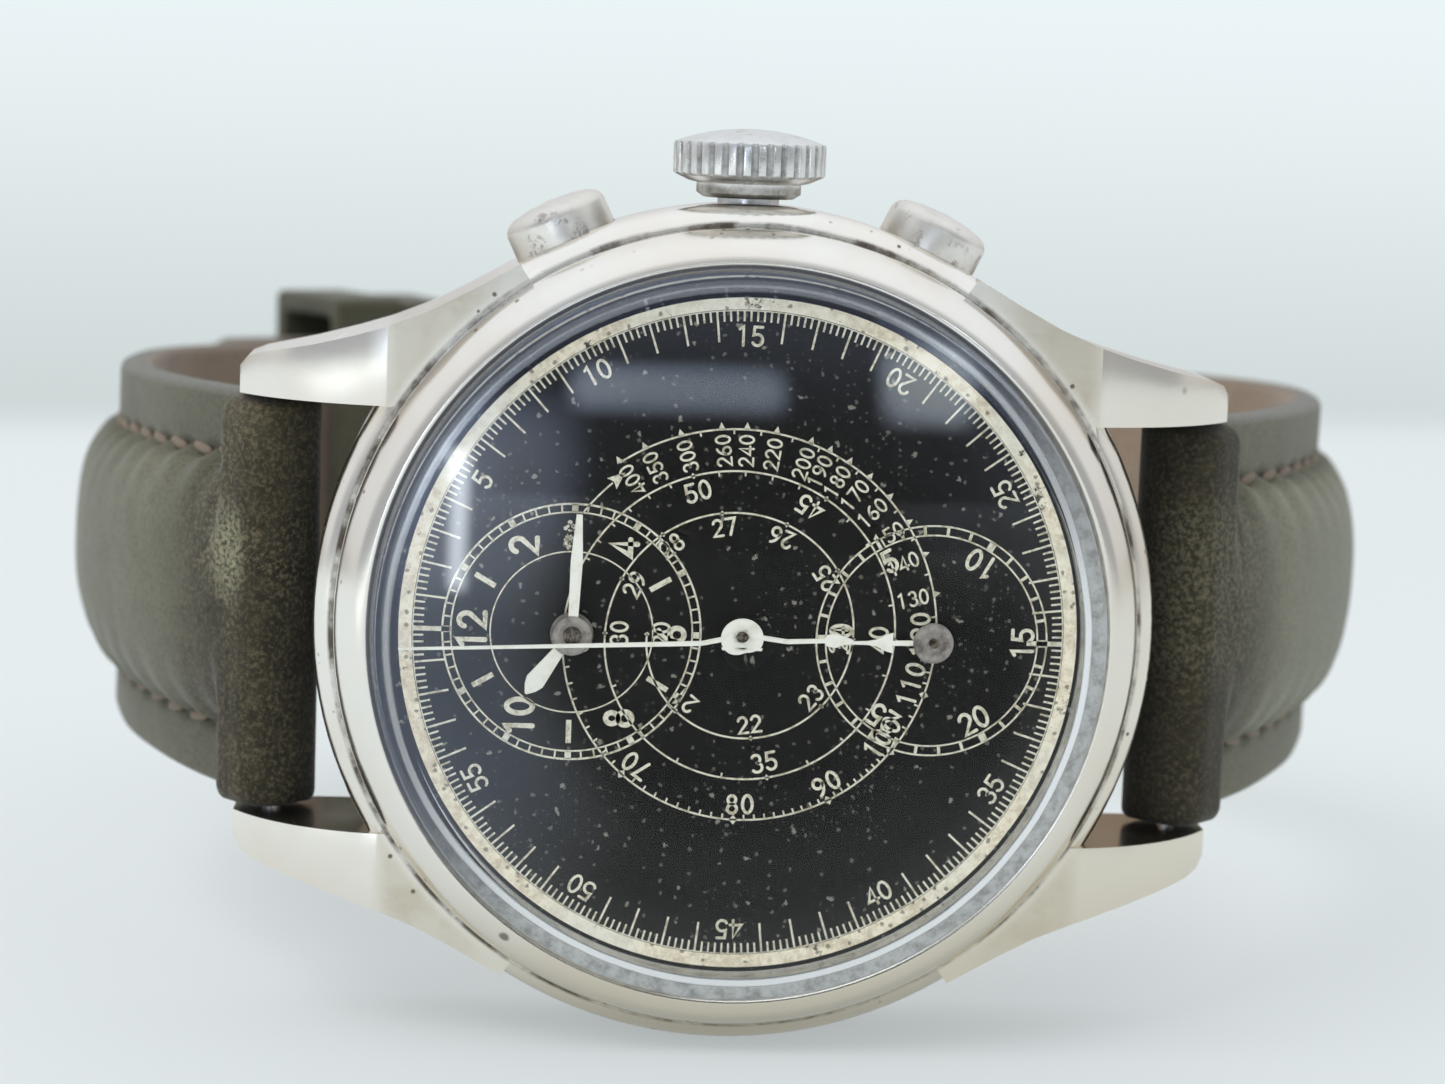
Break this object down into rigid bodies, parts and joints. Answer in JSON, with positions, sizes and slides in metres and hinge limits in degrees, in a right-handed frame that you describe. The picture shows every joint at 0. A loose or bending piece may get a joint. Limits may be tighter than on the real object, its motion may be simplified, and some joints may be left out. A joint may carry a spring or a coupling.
{
  "type": "wrist chronograph",
  "caption": "Mechanical wrist chronograph with crown, pump pushers, hour and counter sub-dials, jewelled movement and a padded leather strap closed on a tang buckle.",
  "frame": {"origin": "centre of the flat outer face of the case back", "axes": "+Y out of the case back towards the wrist (the dial faces -Y), +Z towards the crown at 3 o'clock, -X towards 12 o'clock and +X towards 6 o'clock"},
  "size_m": [0.0639, 0.0623, 0.0385],
  "materials": {
    "nickel": "polished",
    "plated": "satin",
    "steel": "satin",
    "blued": "polished",
    "brass": "satin",
    "gilt": "satin",
    "crystal": "gloss",
    "dial": "gloss",
    "cream": "satin",
    "ruby": "gloss",
    "suede": "matte",
    "lining": "matte"
  },
  "bodies": {
    "case": {"midcase": "nickel", "bezel": "nickel", "crystal": "crystal", "case_back": "nickel", "case_tubes": "steel", "spring_bars": "steel", "pusher_springs": "steel", "dial": "dial", "mainplate": "plated", "barrel_bridge": "plated", "train_bridge": "plated", "chronograph_bridge": "plated", "balance_cock": "plated", "pallet_bridge": "plated", "jewels": "ruby", "screws": "blued"},
    "centre": {"centre_wheel": "gilt", "cannon_pinion": "steel", "minute_hand": "cream"},
    "hour": {"hour_wheel": "gilt", "hour_hand": "cream"},
    "minute_work": {"minute_work_wheel": "gilt"},
    "barrel": {"barrel_drum": "brass", "mainspring": "steel"},
    "third": {"third_wheel": "gilt"},
    "fourth": {"fourth_wheel": "gilt"},
    "escape": {"escape_wheel": "steel"},
    "pallets": {"pallet_fork": "steel"},
    "balance": {"balance_wheel": "brass", "hairspring": "blued"},
    "winding": {"winding_pinion": "steel", "sliding_pinion": "steel"},
    "stem": {"crown": "nickel", "winding_stem": "steel"},
    "crown_wheel": {"crown_wheel": "steel"},
    "ratchet": {"ratchet_wheel": "steel", "barrel_arbor": "steel"},
    "click": {"click": "steel"},
    "setting_lever": {"setting_lever": "steel"},
    "start_pusher": {"start_pusher": "nickel"},
    "reset_pusher": {"reset_pusher": "nickel"},
    "operating_lever": {"operating_lever": "steel"},
    "reset_hammer": {"reset_hammer": "steel"},
    "column_wheel": {"column_wheel": "steel"},
    "clutch_lever": {"clutch_lever": "steel"},
    "clutch_wheel": {"clutch_wheel": "gilt"},
    "runner": {"chronograph_runner": "gilt", "seconds_hand": "cream"},
    "idler": {"counter_idler": "gilt"},
    "counter": {"counter_wheel": "gilt", "counter_hand": "cream"},
    "strap_12": {"strap_12_leather": "suede", "strap_12_lining": "lining", "fixed_keeper": "suede", "buckle_bar": "steel"},
    "strap_6": {"strap_6_leather": "suede", "strap_6_lining": "lining"},
    "keeper": {"sliding_keeper": "suede"},
    "buckle": {"buckle_frame": "nickel"},
    "tongue": {"buckle_tongue": "nickel"}
  },
  "joints": [
    {"name": "minute_hand_turn", "type": "hinge", "parent": "case", "child": "centre", "pos_m": [-0.0069, -0.007, 0], "axis": [0, 1, 0], "continuous": true},
    {"name": "hour_hand_turn", "type": "hinge", "parent": "case", "child": "hour", "pos_m": [-0.0069, -0.008, 0], "axis": [0, 1, 0], "continuous": true},
    {"name": "minute_work_turn", "type": "hinge", "parent": "case", "child": "minute_work", "pos_m": [-0.0057, -0.0075, 0.00208], "axis": [0, 1, 0], "continuous": true},
    {"name": "barrel_turn", "type": "hinge", "parent": "case", "child": "barrel", "pos_m": [-0.0064, -0.0045, 0.00538], "axis": [0, 1, 0], "continuous": true},
    {"name": "third_wheel_turn", "type": "hinge", "parent": "case", "child": "third", "pos_m": [-0.00612, -0.0045, -0.00443], "axis": [0, 1, 0], "continuous": true},
    {"name": "fourth_wheel_turn", "type": "hinge", "parent": "case", "child": "fourth", "pos_m": [-0.00252, -0.0045, -0.00574], "axis": [0, 1, 0], "continuous": true},
    {"name": "escape_wheel_turn", "type": "hinge", "parent": "case", "child": "escape", "pos_m": [0.00073, -0.0045, -0.00631], "axis": [0, 1, 0], "continuous": true},
    {"name": "pallet_fork_rock", "type": "hinge", "parent": "case", "child": "pallets", "pos_m": [0.0032, -0.0042, -0.00688], "axis": [0, 1, 0], "range_deg": [-5, 5]},
    {"name": "balance_swing", "type": "hinge", "parent": "case", "child": "balance", "pos_m": [0.0063, -0.003, -0.0076], "axis": [0, 1, 0], "range_deg": [-270, 270], "stiffness_Nm_per_rad": 0.00000019},
    {"name": "crown_turn", "type": "hinge", "parent": "case", "child": "winding", "pos_m": [0, -0.0045, 0.01], "axis": [0, 0, 1], "continuous": true},
    {"name": "crown_pull", "type": "slide", "parent": "winding", "child": "stem", "axis": [0, 0, 1], "range_m": [0, 0.0006]},
    {"name": "crown_wheel_turn", "type": "hinge", "parent": "case", "child": "crown_wheel", "pos_m": [-0.0016, -0.0028, 0.0082], "axis": [0, 1, 0], "continuous": true},
    {"name": "ratchet_turn", "type": "hinge", "parent": "case", "child": "ratchet", "pos_m": [-0.0064, -0.0034, 0.00538], "axis": [0, 1, 0], "continuous": true},
    {"name": "click_lift", "type": "hinge", "parent": "case", "child": "click", "pos_m": [-0.01135, -0.00275, 0.0026], "axis": [0, -1, 0], "range_deg": [0, 6], "stiffness_Nm_per_rad": 0.000001},
    {"name": "setting_lever_rock", "type": "hinge", "parent": "case", "child": "setting_lever", "pos_m": [0.0032, -0.00725, 0.0114], "axis": [0, 1, 0], "range_deg": [0, 12]},
    {"name": "start_press", "type": "slide", "parent": "case", "child": "start_pusher", "axis": [0.4305, 0, -0.9026], "range_m": [0, 0.0008], "stiffness_N_per_m": 100},
    {"name": "reset_press", "type": "slide", "parent": "case", "child": "reset_pusher", "axis": [-0.4305, 0, -0.9026], "range_m": [0, 0.0008], "stiffness_N_per_m": 100},
    {"name": "operating_lever_rock", "type": "hinge", "parent": "case", "child": "operating_lever", "pos_m": [-0.0116, -0.0013, 0.007], "axis": [0, -1, 0], "range_deg": [-8, 0.5]},
    {"name": "reset_hammer_swing", "type": "hinge", "parent": "case", "child": "reset_hammer", "pos_m": [0.011, -0.0019, 0.0056], "axis": [0, -1, 0], "range_deg": [-0.5, 8]},
    {"name": "column_wheel_step", "type": "hinge", "parent": "case", "child": "column_wheel", "pos_m": [-0.0075, -0.0026, 0.0106], "axis": [0, -1, 0], "continuous": true},
    {"name": "clutch_engage", "type": "hinge", "parent": "case", "child": "clutch_lever", "pos_m": [-0.00222, -0.0019, -0.00862], "axis": [0, -1, 0], "range_deg": [-2.5, 0]},
    {"name": "clutch_wheel_turn", "type": "hinge", "parent": "clutch_lever", "child": "clutch_wheel", "pos_m": [-0.00321, -0.0024, -0.00218], "axis": [0, 1, 0], "continuous": true},
    {"name": "seconds_hand_turn", "type": "hinge", "parent": "case", "child": "runner", "pos_m": [0, -0.005, 0], "axis": [0, 1, 0], "continuous": true},
    {"name": "counter_idler_turn", "type": "hinge", "parent": "case", "child": "idler", "pos_m": [0.0039, -0.0028, 0], "axis": [0, 1, 0], "continuous": true},
    {"name": "counter_hand_turn", "type": "hinge", "parent": "case", "child": "counter", "pos_m": [0.00795, -0.005, 0], "axis": [0, 1, 0], "continuous": true},
    {"name": "strap_12_pivot", "type": "hinge", "parent": "case", "child": "strap_12", "pos_m": [-0.0196, -0.0024, 0], "axis": [0, 0, 1], "range_deg": [-0.2, 0.2]},
    {"name": "strap_6_pivot", "type": "hinge", "parent": "case", "child": "strap_6", "pos_m": [0.0196, -0.0024, 0], "axis": [0, 0, 1], "range_deg": [-0.2, 0.2]},
    {"name": "keeper_slide", "type": "slide", "parent": "strap_12", "child": "keeper", "axis": [-0.8533, -0.5214, 0], "range_m": [0, 0.001]},
    {"name": "buckle_swing", "type": "hinge", "parent": "strap_12", "child": "buckle", "pos_m": [-0.00806, 0.04397, 0], "axis": [0, 0, 1], "range_deg": [0, 3]},
    {"name": "tongue_lift", "type": "hinge", "parent": "buckle", "child": "tongue", "pos_m": [-0.00806, 0.04397, 0], "axis": [0, 0, 1], "range_deg": [0, 5]}
  ],
  "couplings": [
    {"joint": "hour_hand_turn", "follows": "fourth_wheel_turn", "ratio": 0.0013889},
    {"joint": "minute_work_turn", "follows": "fourth_wheel_turn", "ratio": -0.0055556},
    {"joint": "barrel_turn", "follows": "fourth_wheel_turn", "ratio": -0.0020833},
    {"joint": "third_wheel_turn", "follows": "fourth_wheel_turn", "ratio": -0.13333},
    {"joint": "minute_hand_turn", "follows": "fourth_wheel_turn", "ratio": 0.016667},
    {"joint": "escape_wheel_turn", "follows": "fourth_wheel_turn", "ratio": -10},
    {"joint": "clutch_wheel_turn", "follows": "fourth_wheel_turn", "ratio": -1.75},
    {"joint": "crown_wheel_turn", "follows": "crown_turn", "ratio": -0.63636},
    {"joint": "ratchet_turn", "follows": "crown_turn", "ratio": 0.42424},
    {"joint": "setting_lever_rock", "follows": "crown_pull", "rad_per_m": 312.5},
    {"joint": "operating_lever_rock", "follows": "start_press", "rad_per_m": -134.11},
    {"joint": "reset_hammer_swing", "follows": "reset_press", "rad_per_m": 133.02},
    {"joint": "counter_idler_turn", "follows": "seconds_hand_turn", "ratio": -0.041667},
    {"joint": "counter_hand_turn", "follows": "seconds_hand_turn", "ratio": 0.033333}
  ]
}
